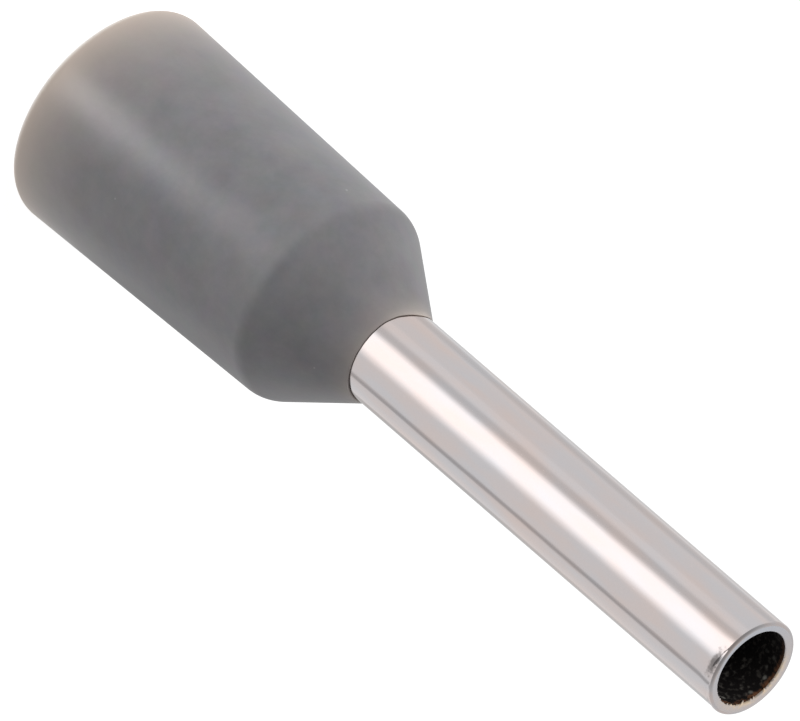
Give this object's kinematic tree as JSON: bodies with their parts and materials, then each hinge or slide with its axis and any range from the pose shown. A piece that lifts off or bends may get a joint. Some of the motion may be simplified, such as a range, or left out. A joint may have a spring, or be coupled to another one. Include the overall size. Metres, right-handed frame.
{
  "type": "wire ferrule",
  "caption": "Insulated wire ferrule: a thin tinned tube flared inside a tapered plastic collar, crimped on the bared strands of a flexible wire.",
  "frame": {"origin": "centre of the collar's mouth, on the plane of its rim, which the ferrule stands on", "axes": "+Z along the barrel, from the collar's mouth to the cut tip; X and Y are alike, because the ferrule is round"},
  "size_m": [0.0036, 0.0036, 0.0143],
  "materials": {
    "collar": "satin",
    "barrel": "gloss"
  },
  "bodies": {
    "root": {"collar": "collar", "barrel": "barrel"}
  },
  "joints": []
}
